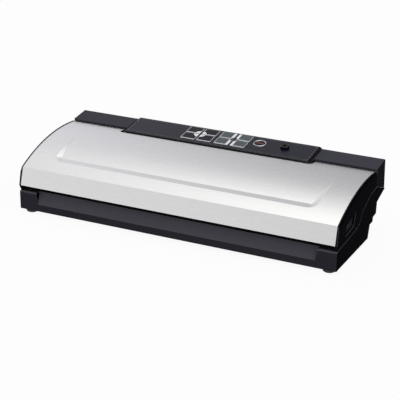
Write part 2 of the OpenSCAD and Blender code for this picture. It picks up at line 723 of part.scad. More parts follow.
// A hose run: straight lengths, each but the last followed by a quarter bend
// towards the given side of the direction of travel.
module hose_run(steps, r, i = 0) {
  length = steps[i][0];
  cylinder(r = r, h = length, $fn = fine);
  if (i < len(steps) - 1) translate([0, 0, length]) rotate([0, 0, steps[i][1]]) {
    translate([bend_r, 0, 0]) rotate([90, 0, 180]) rotate_extrude(angle = 90, $fn = 2 * fine)
      translate([bend_r, 0]) circle(r = r, $fn = fine);
    translate([bend_r, 0, bend_r]) rotate([0, 90, 0]) hose_run(steps, r, i + 1);
  }
}

module hose(steps) difference() {
  hose_run(steps, hose_r);
  hose_run(steps, hose_bore_r);
}

// From the trough straight back to a fitting at y = end.
module trough_hose(x, end) {
  start = trough_y1 + wall;
  translate([x, start, hose_z]) rotate([-90, 0, 0]) hose([[end - start, 0]]);
}

module suction_hose() color("#c9c3b4") in_frame() trough_hose(suction_x, pump_y[0]);
module valve_hose() color("#c9c3b4") in_frame() trough_hose(valve_x, valve_y);

// Down from the port, forward under the bar, down, along the back, forward
// over the valve and down to its nipple.
module port_hose() color("#c9c3b4") in_frame() translate(port_tail - [0, 0, 0.5]) rotate([180, 0, 0])
  hose([[port_tail[2] - 0.5 - hose_levels[0] - bend_r, 90],
    [port_tail[1] - hose_back_y - 2 * bend_r, 180],
    [hose_levels[0] - hose_levels[1] - 2 * bend_r, 90],
    [valve_x - port_tail[0] - 2 * bend_r, 90],
    [hose_back_y - valve_y - valve_d / 2 - 2 * bend_r, 90],
    [hose_levels[1] - bend_r - floor_z - valve_h - cap_h - nipple_h, 0]]);

module cord_gland() color("#1c1c1e") in_frame() difference() {
  union() {
    gland_hole(gland_r - snug / 2, -wall - 1, gland_out);
    gland_hole(gland_r + 1.4, snug / 2, 1.8);
  }
  gland_hole(gland_bore_r, -4 * wall, 2 * gland_out);
}

module lid_switch() color("#1f1f24") in_frame() translate([-half_len + 14.5, deck_y1 - 12, deck_z - wall]) {
  block([0, 0, -7], [12, 6, 0]);
  block([8, 2.4, -9], [9, 3.6, -7 + eps]);
}

// ----------------------------------------------------------------- lid

// Outline of the lid seen from the end: drop below the roof, from setback y0
// behind the front face to y1, above z0.
module lid_slab(drop, y0, y1, z0) {
  intersection() {
    translate(roof_centre) circle(r = roof_r - drop, $fn = ROUND);
    polygon([[y0 + y_at(z0), z0], [y0 + crease_y, crease_z], [y0 + crease_y, sky], [y1, sky], [y1, z0]]);
  }
}

// Pressed panel: a shallow dish that is deepest at the front and runs out into
// the roof at the rear, with sloping walls; t is the depth below its surface.
module pressed_panel(t) {
  slope = press_wall / press_depth;
  reach = 8 * sheet;
  side = press_x + t * sqrt(1 + pow(slope, 2));
  top = [press_y0, roof(press_y0) - t];
  foot = top + [press_wall, roof(press_y0 + press_wall) - roof(press_y0) - press_depth];
  rear = [press_y1, roof(press_y1)];
  intersection() {
    // side walls: cones about the roof's axis
    translate([0, roof_centre[0], roof_centre[1]]) rotate([0, 90, 0]) rotate_extrude($fn = ROUND)
      polygon([[roof_r - reach, slope * reach - side], [roof_r + reach, -slope * reach - side],
        [roof_r + reach, side + slope * reach], [roof_r - reach, side - slope * reach]]);
    along_x(body_len) difference() {
      polygon([top - 2 * (foot - top), top + (foot - top) * (rear[0] - top[0]) / press_wall,
        [rear[0], sky], [top[0] - 2 * press_wall, sky]]);
      translate(rear + dish_r / roof_r * (roof_centre - rear)) circle(r = dish_r - t, $fn = ROUND);
    }
    panel_corners(press_corner + t * sqrt(1 + pow(slope, 2)), slope, reach);
  }
}

// Everything but the front corners outside a cone of radius r at the roof.
module panel_corners(r, slope, reach) difference() {
  translate([-half_len, 0, 0]) cube([body_len, body_depth, sky]);
  both_ends() translate([press_x - press_corner, press_y0, roof(press_y0)])
    rotate([asin((roof_y - press_y0 - press_wall) / roof_r), 0, 0]) translate([0, press_corner, 0]) difference() {
      translate([0, -3 * press_corner, -reach]) cube([3 * press_corner, 3 * press_corner, 2 * reach]);
      translate([0, 0, -r / slope]) cylinder(r1 = 0, r2 = r + slope * reach, h = r / slope + reach, $fn = fine);
    }
}

module notch_plan() {
  union() {
    translate([-notch_half, notch_y + notch_r]) square([2 * notch_half, body_depth]);
    rounded_rect(-notch_half, notch_half, notch_y, notch_y + 3 * notch_r, notch_r);
  }
}

module lid_cover() color("#c8c9cb") in_frame() difference() {
  union() {
    difference() {
      along_x(2 * steel_half) lid_slab(0, 0, lid_rear_y, lip_z);
      along_x(2 * steel_half + 2) lid_slab(sheet, sheet, lid_rear_y + 5, lip_z - 2);
    }
    intersection() {
      along_x(2 * steel_half) difference() {
        lid_slab(0, 0, lid_rear_y, lip_z);
        lid_slab(press_depth + 2.5 * sheet, 0, lid_rear_y, lip_z);
      }
      pressed_panel(sheet);
    }
  }
  pressed_panel(0);
  linear_extrude(sky) notch_plan();
}

// Outline of the lid's inside above the parting line, back to the liner's rear.
module lid_inside(drop) {
  difference() {
    lid_slab(drop, sheet + gap, liner_rear, liner_z + 1);
    polygon(concat([[deck_y1, 0], [deck_y1, liner_z + 1]],
      [for (q = seam) if (q[0] > deck_y1 + 7 && q[0] < liner_rear - 3) q + [-2, 3]],
      [[liner_rear, seam_knots[6][1] + 3.2], [liner_rear, 0]]));
  }
}

module liner_floor() {
  under = [for (q = seam) if (q[0] > deck_y1 + 7 && q[0] < liner_rear - 3) q + [-1.2, 1.7]];
  top = roof(liner_rear) - sheet;
  front = sheet + 0.25;
  low = seam_knots[6][1] + 3;
  lip = crease_z - 4.5;
  polygon(concat([[y_at(liner_z) + front, liner_z], [deck_y1 + 3, liner_z]], under,
    [[liner_rear, low], [liner_rear, top - 0.2], [liner_rear - liner_t, top - 0.4], [liner_rear - liner_t, low + 2]],
    [for (q = backwards(under)) q + [-1.4, liner_t]],
    [[deck_y1 + 1.4, liner_z + liner_t], [y_at(liner_z) + sheet + 3, liner_z + liner_t],
      [y_at(lip) + sheet + liner_t, lip], [y_at(lip) + front, lip]]));
}

module liner_rib(x) {
  from_x(x - rib_t / 2, x + rib_t / 2) lid_inside(sheet + press_depth + 0.8);
}

module knuckle() {
  difference() {
    translate([hinge_x, 0, 0]) along_x(knuckle_w) {
      translate([hinge_y, hinge_z]) circle(r = ear_r, $fn = fine);
      translate([liner_rear - 1, hinge_z - 2.4]) square([hinge_y - liner_rear + 1, 4.8]);
    }
    translate([hinge_x, hinge_y, hinge_z]) rotate([0, 90, 0])
      cylinder(r = pin_r + pin_play, h = 3 * knuckle_w, center = true, $fn = fine);
  }
}

module lid_liner() color("#2b2a2f") in_frame() {
  spacing = liner_half / 3;
  difference() {
    union() {
      along_x(2 * liner_half) liner_floor();
      for (k = [-2:2]) liner_rib(k * spacing);
      both_ends() liner_rib(liner_half - rib_t / 2);
    }
    // room for the release buttons and their hooks
    both_ends() block([slot_x[0] - 2.4, 22, liner_z - 1], [half_len, deck_y1 - 2, crease_z + 2]);
    both_ends() for (p = lid_screw_at) translate([liner_half - 5, p[0], p[1]]) rotate([0, 90, 0])
      cylinder(r = lid_screw_r, h = 10, $fn = fine);
  }
  both_ends() knuckle();
}

module pressure_strip() color("#c9482f") in_frame() along_x(2 * seal_x) difference() {
  translate([seal_y - seal_w / 2 + 0.5, seal_top + gap]) square([seal_w - 1, liner_z - seal_top - gap]);
  for (side = [-1, 1]) translate([seal_y + side * (seal_w / 2 - 0.5) - 0.8, seal_top + 1]) square([1.6, 0.8]);
}

function inward(a, b) = [-(b - a)[1], (b - a)[0]] / norm(b - a);
// A convex outline, counter-clockwise, moved in by d.
function inset(p, d) = [for (i = [0:len(p) - 1])
  let (n1 = inward(p[(i + len(p) - 1) % len(p)], p[i]), n2 = inward(p[i], p[(i + 1) % len(p)]))
  p[i] + d * (n1 + n2) / (1 + n1 * n2)];

// An end cap seen from the end, standing proud of the steel's crease.
module end_cap_side(proud) {
  polygon(concat([[y_at(lip_z), lip_z], [crease_y - proud, crease_z], [crease_y - proud, sky], [lid_rear_y, sky],
    [lid_rear_y, seam_end_z + seam_gap]], backwards(lid_bottom)));
}

module lid_end() difference() {
  union() {
    // shoulder outside the steel: a rim, then a bevel
    intersection() {
      from_x(steel_half + 0.05, half_len) end_cap_side(rim_rise);
      translate([steel_half, roof_centre[0], roof_centre[1]]) rotate([0, 90, 0]) rotate_extrude($fn = ROUND)
        polygon([[0, 0], [roof_r + rim_rise, 0], [roof_r + rim_rise, 0.4 * shoulder_w],
          [roof_r - shoulder_h, shoulder_w], [0, shoulder_w]]);
    }
    // wall that the steel and the liner lie against
    from_x(cap_x, steel_half + 0.05 + eps) intersection() {
      end_cap_side(0);
      lid_slab(sheet + 0.08, sheet + snug, lid_rear_y, 0);
    }
  }
  from_x(cap_x - 5, half_len + 5) polygon(button_pts);
  for (p = lid_screw_at) translate([cap_x - 1, p[0], p[1]]) rotate([0, 90, 0])
    cylinder(r = lid_screw_r, h = cap_t + 0.2, $fn = fine);
}

module lid_end_right() color("#26252b") in_frame() lid_end();
module lid_end_left() color("#26252b") in_frame() mirror([1, 0, 0]) lid_end();

module release_button() {
  difference() {
    from_x(flange_x - 0.5, half_len - button_sink) polygon(inset(button_pts, release_play));
    // finger grips
    for (k = [0:3]) translate([0, 31 + 5 * k, 0])
      block([half_len - button_sink - 0.5, 0, 0], [half_len, 1.2, sky]);
  }
  from_x(flange_x - 1.6, flange_x) polygon(inset(button_pts, -lip_w));
  // hook that reaches into the base
  block([hook_x, hook_y[0], hook_z], [hook_x + hook_t, hook_y[1], hook_z + 20]);
  block([hook_x + hook_t - 0.4, hook_y[0], hook_z], [hook_x + hook_t + 0.6, hook_y[1], hook_z + 2]);
}

module release_button_right() color("#2f2e34") in_frame() release_button();
module release_button_left() color("#2f2e34") in_frame() mirror([1, 0, 0]) release_button();

module lid_screws() color("#b9bcc2") in_frame() both_ends() for (p = lid_screw_at)
  translate([liner_half - rib_t, p[0], p[1]]) {
    rotate([0, 90, 0]) cylinder(r = lid_screw_r, h = rib_t + 2.3, $fn = fine);
    rotate([0, -90, 0]) cylinder(r = lid_screw_head_r, h = 1.3, $fn = fine);
  }

module hinge_pins() color("#c4c7cc") in_frame() both_ends() translate([hinge_x, hinge_y, hinge_z]) rotate([0, 90, 0])
  cylinder(r = pin_r, h = knuckle_w + 2 * (ear_t + gap), center = true, $fn = fine);

base_housing();
bottom_cover();
rear_cover();
control_housing();
control_panel();
key_rear_1();
key_rear_2();
key_rear_3();
key_rear_4();
key_front_1();
key_front_2();
key_front_3();
key_front_4();
round_button();
button_ring();
accessory_port();
key_board();
key_switches();
drip_tray();
lower_gasket();
sealing_bar();
heating_strip();
ptfe_tape();
bag_stops();
lid_switch();
vacuum_pump();
pump_motor();
pump_bracket();
transformer();
control_board();
release_valve();
suction_hose();
valve_hose();
port_hose();
cord_gland();
feet();
bottom_screws();
hinge_pins();
lid_cover();
lid_liner();
lid_end_left();
lid_end_right();
upper_gasket();
pressure_strip();
release_button_left();
release_button_right();
lid_screws();
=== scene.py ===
"""Vacuum sealer: finishes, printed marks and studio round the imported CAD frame."""
import json
import math

import bmesh
import bpy
from mathutils import Matrix, Vector


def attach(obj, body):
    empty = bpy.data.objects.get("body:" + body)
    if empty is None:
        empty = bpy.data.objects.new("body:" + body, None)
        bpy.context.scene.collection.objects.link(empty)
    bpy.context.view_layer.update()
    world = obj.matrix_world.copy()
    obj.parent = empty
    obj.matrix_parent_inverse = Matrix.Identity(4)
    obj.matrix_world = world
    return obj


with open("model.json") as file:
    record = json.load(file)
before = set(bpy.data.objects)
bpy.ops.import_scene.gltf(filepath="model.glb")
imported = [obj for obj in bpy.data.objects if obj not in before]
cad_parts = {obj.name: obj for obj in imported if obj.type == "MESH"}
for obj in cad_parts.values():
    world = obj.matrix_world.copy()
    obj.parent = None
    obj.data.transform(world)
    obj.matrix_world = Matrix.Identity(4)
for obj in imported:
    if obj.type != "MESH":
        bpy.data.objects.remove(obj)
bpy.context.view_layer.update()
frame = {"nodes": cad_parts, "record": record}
NODES = frame["nodes"]
MM = 0.001


# ------------------------------------------------------------ node helpers

USUAL_NOISE = (0.3, 0.7)   # range that most values of a noise texture lie in
END_FACE = (0.6, 0.9)   # how far a normal points along X where a face starts to be, and is, an end
LEAN_BLEND = 0.1   # change of a normal's height over which a leaning face blends with its neighbours
EDGE_TURN = (0.99, 0.93)   # agreement of rounded and flat normal beside an edge, and on it
EDGE_UP = (-0.05, 0.25)   # how far up the rounded normal of an edge with a painted highlight starts to point, and points


def shade(colour, factor):
    """A colour made darker or lighter."""
    return tuple(min(1.0, c * factor) for c in colour)


class Tree:
    """A node tree with short calls for the nodes used here."""

    def __init__(self, tree):
        self.tree = tree

    def add(self, kind, **settings):
        """Adds a node with its settings."""
        made = self.tree.nodes.new(kind)
        for key, value in settings.items():
            setattr(made, key, value)
        return made

    def link(self, source, target):
        self.tree.links.new(source, target)

    def feed(self, node, values):
        """Gives a node's first inputs their values, each one a socket or a constant."""
        for target, value in zip(node.inputs, values):
            if isinstance(value, bpy.types.NodeSocket):
                self.link(value, target)
            else:
                target.default_value = value

    def maths(self, operation, *values):
        """Result of a calculation with numbers."""
        made = self.add("ShaderNodeMath", operation=operation)
        self.feed(made, values)
        return made.outputs[0]

    def vector(self, operation, *values, result="Vector"):
        """Result of a calculation with vectors."""
        made = self.add("ShaderNodeVectorMath", operation=operation)
        self.feed(made, values)
        return made.outputs[result]

    def agreement(self, one, other):
        """Dot product of two directions: 1 where they agree."""
        return self.vector("DOT_PRODUCT", one, other, result="Value")

    def part(self, vector, axis):
        """One component of a vector."""
        parts = self.add("ShaderNodeSeparateXYZ")
        self.link(vector, parts.inputs[0])
        return parts.outputs[axis]


class Surface(Tree):
    """A material, with calls for its texture and finish."""

    def __init__(self, name):
        self.material = bpy.data.materials.new(name)
        self.material.use_nodes = True
        super().__init__(self.material.node_tree)
        self.bsdf = self.tree.nodes["Principled BSDF"]

    def own(self, kind):
        """The object's own coordinates or normals."""
        return self.add("ShaderNodeTexCoord").outputs[kind]

    def coordinates(self, scale):
        """Object coordinates stretched by scale, one factor for each axis."""
        stretch = self.add("ShaderNodeMapping")
        stretch.inputs["Scale"].default_value = scale
        self.link(self.own("Object"), stretch.inputs["Vector"])
        return stretch.outputs["Vector"]

    def noise(self, scale, detail=3.0, stretch=(1, 1, 1)):
        """Cloudy noise, finer with a larger scale and sharper with more detail."""
        made = self.add("ShaderNodeTexNoise")
        made.inputs["Scale"].default_value = scale
        made.inputs["Detail"].default_value = detail
        self.link(self.coordinates(stretch), made.inputs["Vector"])
        return made.outputs["Fac"]

    def span(self, value, start, end, low=0.0, high=1.0):
        """Low where value is at start, high where it is at end, and between them a slope."""
        made = self.add("ShaderNodeMapRange")
        made.inputs["From Min"].default_value = start
        made.inputs["From Max"].default_value = end
        made.inputs["To Min"].default_value = low
        made.inputs["To Max"].default_value = high
        self.link(value, made.inputs["Value"])
        return made.outputs["Result"]

    def tint(self, value, dark, light):
        """Blends two colours by a value."""
        made = self.add("ShaderNodeMix", data_type="RGBA")
        self.link(value, made.inputs["Factor"])
        made.inputs["A"].default_value = (*dark, 1)
        made.inputs["B"].default_value = (*light, 1)
        return made.outputs["Result"]

    def mix(self, value, below, above):
        """Blends a colour socket with a colour by a value."""
        made = self.add("ShaderNodeMix", data_type="RGBA")
        self.link(value, made.inputs["Factor"])
        self.link(below, made.inputs["A"])
        made.inputs["B"].default_value = (*above, 1)
        return made.outputs["Result"]

    def end_faces(self):
        """1 on faces that look along X, the ends of the object, where shade is painted, and 0 on the others.
        """
        return self.span(self.maths("ABSOLUTE", self.part(self.own("Normal"), "X")), *END_FACE)

    def leaning(self, low, high):
        """1 on faces whose normal points up by low to high, which lean back a little and get painted light,
        and 0 on the others.
        """
        up = self.part(self.own("Normal"), "Z")
        steep = self.span(up, low - LEAN_BLEND, low)
        flat = self.span(up, high + LEAN_BLEND, high)
        return self.maths("MULTIPLY", steep, flat)

    def edges(self, radius):
        """1 along edges that face up, where a highlight is painted, 0 on the faces between them."""
        bevel = self.add("ShaderNodeBevel", samples=6)
        bevel.inputs["Radius"].default_value = radius
        rounded = bevel.outputs["Normal"]
        plain = self.add("ShaderNodeNewGeometry").outputs["Normal"]
        turned = self.span(self.agreement(rounded, plain), *EDGE_TURN)
        upward = self.span(self.part(rounded, "Z"), *EDGE_UP)
        return self.maths("MULTIPLY", turned, upward)

    def paint(self, value, colour, darkest, lightest):
        """Colours the surface by a value, from a darker to a lighter shade."""
        tone = self.tint(value, shade(colour, darkest), shade(colour, lightest))
        self.link(tone, self.bsdf.inputs["Base Color"])

    def roughen(self, noise, roughness, smoother, rougher):
        """Spreads the roughness over a range below and above its middle value."""
        spread = self.span(noise, *USUAL_NOISE, roughness - smoother, roughness + rougher)
        self.link(spread, self.bsdf.inputs["Roughness"])

    def bump(self, height, strength, distance):
        """Raises the surface by a height value, up to a distance in metres."""
        made = self.add("ShaderNodeBump")
        made.inputs["Strength"].default_value = strength
        made.inputs["Distance"].default_value = distance
        self.link(height, made.inputs["Height"])
        self.link(made.outputs["Normal"], self.bsdf.inputs["Normal"])

    def set(self, **values):
        """Sets inputs of the surface; an underscore stands for the space in an input's name."""
        for key, value in values.items():
            self.bsdf.inputs[key.replace("_", " ")].default_value = value


# --------------------------------------------------------------- materials

EDGE = 0.6 * MM   # width of the painted highlight along an edge of a moulding
SPARK = 900   # scale of the spark texture of moulded plastic
CLOUDS = 18   # scale of the slow change of tone of moulded plastic
DRAWN_LINES = (5, 330, 330)   # faint lines along X that some mouldings have
BACK_LEAN = (0.4, 0.65)   # how far up the normals of the ramps point
PAINTED_END_SHADE = (0.002, 0.002, 0.003)   # painted shade: deep black on the object's ends, which get little light
PAINTED_RAMP_LIGHT = (0.07, 0.069, 0.084)   # painted light: the ramps, which lean back towards the light, made paler
PAINTED_EDGE_HIGHLIGHT = (0.17, 0.17, 0.19)   # painted highlight: edges that face up made lighter, as if catching the light


def moulded(name, colour, roughness=0.45, depth=0.03, specular=0.5,
            ends=None, ramps=None, edge_highlight=None, drawn=False):
    """Moulded plastic: fine spark texture, a slow change of tone, and painted highlights on upward edges.

    Depth is the height of the texture in mm. The colours given for ends, ramps and edges,
    where they differ, are painted shade on the faces that look along X, painted light on the
    faces that lean back and a painted highlight on the edges that face up. Drawn plastic has
    faint lines along X.
    """
    m = Surface(name)
    spots = m.noise(SPARK, detail=4)
    clouds = m.noise(1.0, 3, DRAWN_LINES) if drawn else m.noise(CLOUDS, detail=2)
    tone = m.tint(clouds, shade(colour, 0.9), shade(colour, 1.12))
    # Painted light: the ramps made paler where they lean back towards the light.
    if ramps:
        tone = m.mix(m.leaning(*BACK_LEAN), tone, ramps)
    # Painted shade: the ends, which get little light, made deep black.
    if ends:
        tone = m.mix(m.end_faces(), tone, ends)
    # Painted highlight: edges that face up made lighter, as if they caught the light.
    if edge_highlight:
        tone = m.mix(m.edges(EDGE), tone, edge_highlight)
    m.link(tone, m.bsdf.inputs["Base Color"])
    m.roughen(spots, roughness, smoother=0.05, rougher=0.05)
    m.set(Specular_IOR_Level=specular)
    m.bump(spots, strength=0.5, distance=depth * MM)
    return m.material


STREAKS = (60, 1500, 1500)   # fine lines along X on brushed metal
SPECKS = 750   # scale of the specks between those lines
GRAIN = (0.7, 1.3)   # range that lines and specks together mostly lie in


def brushed(name, colour, roughness=0.27, anisotropy=0.6):
    """Metal with a short grain along X: streaks in tone and height, and specks in tone and gloss."""
    m = Surface(name)
    streaks = m.noise(1.0, 4, STREAKS)
    specks = m.noise(SPECKS, detail=2)
    grain = m.span(m.maths("ADD", streaks, specks), *GRAIN)
    m.paint(grain, colour, darkest=0.955, lightest=1.035)
    m.roughen(specks, roughness, smoother=0.015, rougher=0.015)
    m.set(Metallic=1.0, Anisotropic=anisotropy)
    tangent = m.add("ShaderNodeTangent", direction_type="RADIAL", axis="X")
    m.link(tangent.outputs["Tangent"], m.bsdf.inputs["Tangent"])
    m.bump(streaks, strength=0.03, distance=0.01 * MM)
    return m.material


POLISH = 900   # scale of the unevenness of a polished or plated surface


def plated(name, colour, roughness=0.22):
    """Plain metal with a faintly uneven polish."""
    m = Surface(name)
    patches = m.noise(POLISH)
    m.paint(patches, colour, darkest=0.92, lightest=1.04)
    m.roughen(patches, roughness, smoother=0.04, rougher=0.06)
    m.set(Metallic=1.0)
    return m.material


def soft(name, colour, roughness=0.8, cell=1500, depth=0.12):
    """Foam, rubber or silicone: small cells, depth mm deep."""
    m = Surface(name)
    cells = m.add("ShaderNodeTexVoronoi")
    cells.inputs["Scale"].default_value = cell
    m.link(m.coordinates((1, 1, 1)), cells.inputs["Vector"])
    distance = cells.outputs["Distance"]
    m.paint(distance, colour, darkest=0.7, lightest=1.2)
    m.set(Roughness=roughness)
    m.bump(distance, strength=0.5, distance=depth * MM)
    return m.material


WEAVE = 700   # scale of the threads of woven cloth


def woven(name, colour):
    """Coated glass cloth: a fine plain weave."""
    m = Surface(name)
    warp = m.add("ShaderNodeTexWave", bands_direction="X")
    weft = m.add("ShaderNodeTexWave", bands_direction="Y")
    for wave in (warp, weft):
        wave.inputs["Scale"].default_value = WEAVE
        m.link(m.coordinates((1, 1, 1)), wave.inputs["Vector"])
    threads = m.maths("MULTIPLY", warp.outputs["Fac"], weft.outputs["Fac"])
    m.paint(threads, colour, darkest=0.75, lightest=1.15)
    m.set(Roughness=0.5)
    m.bump(threads, strength=0.4, distance=0.05 * MM)
    return m.material


# Finishes by name. A record slot's finish has the slot's name.
# Colours given for ends are painted shade, for ramps painted light, for edges a painted highlight.
FINISHES = {
    "housing": lambda n: moulded(
        n, (0.025, 0.024, 0.031), 0.5, specular=0.001, ends=PAINTED_END_SHADE, ramps=PAINTED_RAMP_LIGHT, edge_highlight=PAINTED_EDGE_HIGHLIGHT),
    "bar": lambda n: moulded(n, (0.06, 0.059, 0.074), 0.4, specular=0.002, ends=PAINTED_END_SHADE, drawn=True),
    "black_plastic": lambda n: moulded(n, (0.006, 0.006, 0.007), 0.45, specular=0.2),
    "lid_plastic": lambda n: moulded(n, (0.006, 0.006, 0.008), 0.5, specular=0.001, ends=PAINTED_END_SHADE, edge_highlight=PAINTED_EDGE_HIGHLIGHT),
    "panel": lambda n: moulded(
        n, (0.006, 0.006, 0.018), 0.3, depth=0.01, specular=0.2, edge_highlight=(0.1, 0.1, 0.12)),
    "dark_keys": lambda n: moulded(n, (0.008, 0.008, 0.014), 0.34, depth=0.01, specular=0.12),
    "grey_keys": lambda n: moulded(n, (0.075, 0.095, 0.105), 0.36, depth=0.01, specular=0.2),
    "indicator": lambda n: moulded(n, (0.005, 0.004, 0.006), 0.15, depth=0.002, specular=0.1),
    "chrome_ring": lambda n: plated(n, (0.7, 0.7, 0.73), 0.25),
    "circuit_board": lambda n: moulded(n, (0.02, 0.12, 0.05), 0.4),
    "switch_body": lambda n: moulded(n, (0.7, 0.68, 0.62), 0.5),
    "clear_tray": lambda n: moulded(n, (0.5, 0.52, 0.55), 0.2, depth=0.01),
    "foam": lambda n: soft(n, (0.02, 0.02, 0.022)),
    "aluminium_bar": lambda n: brushed(n, (0.72, 0.72, 0.74), 0.35, 0.4),
    "heater": lambda n: plated(n, (0.6, 0.5, 0.35), 0.3),
    "tape": lambda n: woven(n, (0.3, 0.19, 0.1)),
    "pump_body": lambda n: moulded(n, (0.03, 0.03, 0.034), 0.5),
    "motor_can": lambda n: plated(n, (0.6, 0.61, 0.63), 0.3),
    "bracket": lambda n: plated(n, (0.5, 0.52, 0.55), 0.35),
    "core": lambda n: moulded(n, (0.13, 0.11, 0.1), 0.6),
    "hose": lambda n: moulded(n, (0.55, 0.52, 0.45), 0.35, depth=0.01),
    "rubber_feet": lambda n: soft(n, (0.02, 0.02, 0.022), 0.7, 900, 0.05),
    "fasteners": lambda n: plated(n, (0.62, 0.63, 0.65), 0.28),
    "brushed_cover": lambda n: brushed(n, (0.8, 0.8, 0.81)),
    "silicone": lambda n: soft(n, (0.45, 0.06, 0.03), 0.5, 1200, 0.02),
    "bezel": lambda n: moulded(n, (0.004, 0.004, 0.005), 0.4, specular=0.15, edge_highlight=(0.25, 0.25, 0.29)),
    "silver_print": lambda n: moulded(n, (0.7, 0.71, 0.74), 0.35, depth=0.002),
    "white_print": lambda n: moulded(n, (0.86, 0.87, 0.9), 0.4, depth=0.002),
    "red_lens": lambda n: moulded(n, (0.13, 0.008, 0.012), 0.2, depth=0.002),
    "glossy_black": lambda n: moulded(n, (0.003, 0.003, 0.004), 0.15, depth=0.005, specular=0.2),
    "release": lambda n: moulded(
        n, (0.004, 0.004, 0.005), 0.4, specular=0.01, ends=PAINTED_END_SHADE, edge_highlight=(0.22, 0.22, 0.24)),
}
MATERIALS = {name: make(name) for name, make in FINISHES.items()}

# Nodes whose finish differs from the rest of their slot.
OWN_FINISH = {
    "control_housing": "bezel",
    "accessory_port": "glossy_black",
    "release_button_left": "release",
    "release_button_right": "release",
}


def finish_cad_nodes():
    """Gives every CAD node the finish of its record slot, or its own."""
    for part in frame["record"]["subparts"]:
        node = NODES[part["node"]]
        node.data.materials.clear()
        node.data.materials.append(MATERIALS[OWN_FINISH.get(part["node"], part["material_slot"])])


# ------------------------------------------------------------ small pieces

PRINT = 0.06 * MM   # thickness of a printed layer
PRINT_EDGE = 0.02 * MM   # rounding of a printed layer's edge
FLAT = 0.02 * MM   # depth below a node's highest point that still counts as its top
UPWARD = 0.8   # height of a face's normal from which the face counts as looking up


def piece(name, shape, material, body, axes, rounding=0.0):
    """Makes an object of a bmesh drawn in the given axes, riding on a body."""
    bmesh.ops.transform(shape, matrix=axes, verts=shape.verts)
    bmesh.ops.recalc_face_normals(shape, faces=shape.faces)
    mesh = bpy.data.meshes.new(name)
    shape.to_mesh(mesh)
    shape.free()
    mesh.materials.append(MATERIALS[material])
    made = bpy.data.objects.new(name, mesh)
    bpy.context.scene.collection.objects.link(made)
    if rounding:
        bevel = made.modifiers.new("rounding", "BEVEL")
        bevel.width = rounding
        bevel.segments = 2
        bevel.limit_method = "ANGLE"
    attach(made, body)


def prism(outline, low, high):
    """Straight solid over a flat outline."""
    shape = bmesh.new()
    base = [shape.verts.new((x, y, low)) for x, y in outline]
    top = [shape.verts.new((x, y, high)) for x, y in outline]
    shape.faces.new(base)
    shape.faces.new(top)
    for i, vertex in enumerate(base):
        after = (i + 1) % len(base)
        shape.faces.new((vertex, base[after], top[after], top[i]))
    return shape


def closed_band(loops):
    """Ring-shaped solid through loops of equally many points, the last joined to the first."""
    shape = bmesh.new()
    rows = [[shape.verts.new(point) for point in loop] for loop in loops]
    for k, row in enumerate(rows):
        following = rows[(k + 1) % len(rows)]
        for i, vertex in enumerate(row):
            after = (i + 1) % len(row)
            shape.faces.new((vertex, row[after], following[after], following[i]))
    return shape


def rounded(left, right, front, back, radius, steps=4):
    """Points round a rectangle with round corners."""
    points = []
    for x, y, start in ((right, back, 0), (left, back, 90), (left, front, 180), (right, front, 270)):
        centre_x = x - math.copysign(radius, x - (left + right) / 2)
        centre_y = y - math.copysign(radius, y - (front + back) / 2)
        for k in range(steps + 1):
            angle = math.radians(start + 90 * k / steps)
            points.append((centre_x + radius * math.cos(angle), centre_y + radius * math.sin(angle)))
    return points


def at_height(points, z):
    """Lifts flat points to a height."""
    return [(x, y, z) for x, y in points]


def slope_axes(node):
    """Matrix from along X, up the slope and out of it to the frame, for a node with a sloping top."""
    upward = [face for face in NODES[node].data.polygons if face.normal.z > UPWARD]
    top = max(upward, key=lambda face: face.area)
    out = Vector((0, top.normal.y, top.normal.z)).normalized()
    along = Vector((1, 0, 0))
    return Matrix((along, out.cross(along), out)).transposed().to_4x4()


PANEL = slope_axes("control_panel")


class Top:
    """Flat top of a node on the sloping panel, in the panel's axes."""

    def __init__(self, node):
        points = [PANEL.inverted() @ vertex.co for vertex in NODES[node].data.vertices]
        self.height = max(point.z for point in points)
        face = [point for point in points if self.height - point.z < FLAT]
        self.left = min(point.x for point in face)
        self.right = max(point.x for point in face)
        self.front = min(point.y for point in face)
        self.back = max(point.y for point in face)

    def grown(self, by, radius):
        """Outline of the top, moved out by a distance, with round corners."""
        return rounded(self.left - by, self.right + by, self.front - by, self.back + by, radius)


# -------------------------------------------------------------------- keys

KEY_SKIRT = 0.66 * MM   # how far a key's silver rim reaches down its sides
KEY_CORNER = {"outside": 0.3 * MM, "shoulder": 0.28 * MM, "inside": 0.25 * MM}   # a rim's corner radii
KEY_FIT = 0.005 * MM   # room between a key and its rim
RIM = {"left": 0.55 * MM, "right": 0.25 * MM, "front": 1.0 * MM, "back": 0.12 * MM}   # the rim's width on top
DISC = 7.2 * MM   # radius of the white disc printed across the four dark keys
STRIPE = 3.1 * MM   # width of the white stripes beside the gap between the grey keys
DOT = 4.2 * MM   # radius of the round cut out of those stripes where they meet
DOT_EDGE = 0.1 * MM   # room between the dark round and the stripes
BAR = {"length": 8.4 * MM, "width": 2.6 * MM, "corner": 0.8 * MM}   # red bar across the round button
BAR_SUNK = 0.01 * MM   # how far the bar reaches into the button


def key_rim(name, top):
    """Silver edge round a key: down its sides and a narrow border on its top."""
    over = top.height + PRINT
    under = top.height + KEY_FIT
    foot = top.height - KEY_SKIRT
    soft_edge = PRINT / 2
    outer = top.grown(PRINT, KEY_CORNER["outside"])
    shoulder = top.grown(PRINT - soft_edge, KEY_CORNER["shoulder"])
    border = rounded(top.left + RIM["left"], top.right - RIM["right"], top.front + RIM["front"],
                     top.back - RIM["back"], KEY_CORNER["outside"])
    wall = top.grown(KEY_FIT, KEY_CORNER["inside"])
    loops = [
        at_height(outer, foot),
        at_height(outer, over - soft_edge),
        at_height(shoulder, over),
        at_height(border, over),
        at_height(border, under),
        at_height(wall, under),
        at_height(wall, foot),
    ]
    piece(name + "_rim", closed_band(loops), "silver_print", name, PANEL)


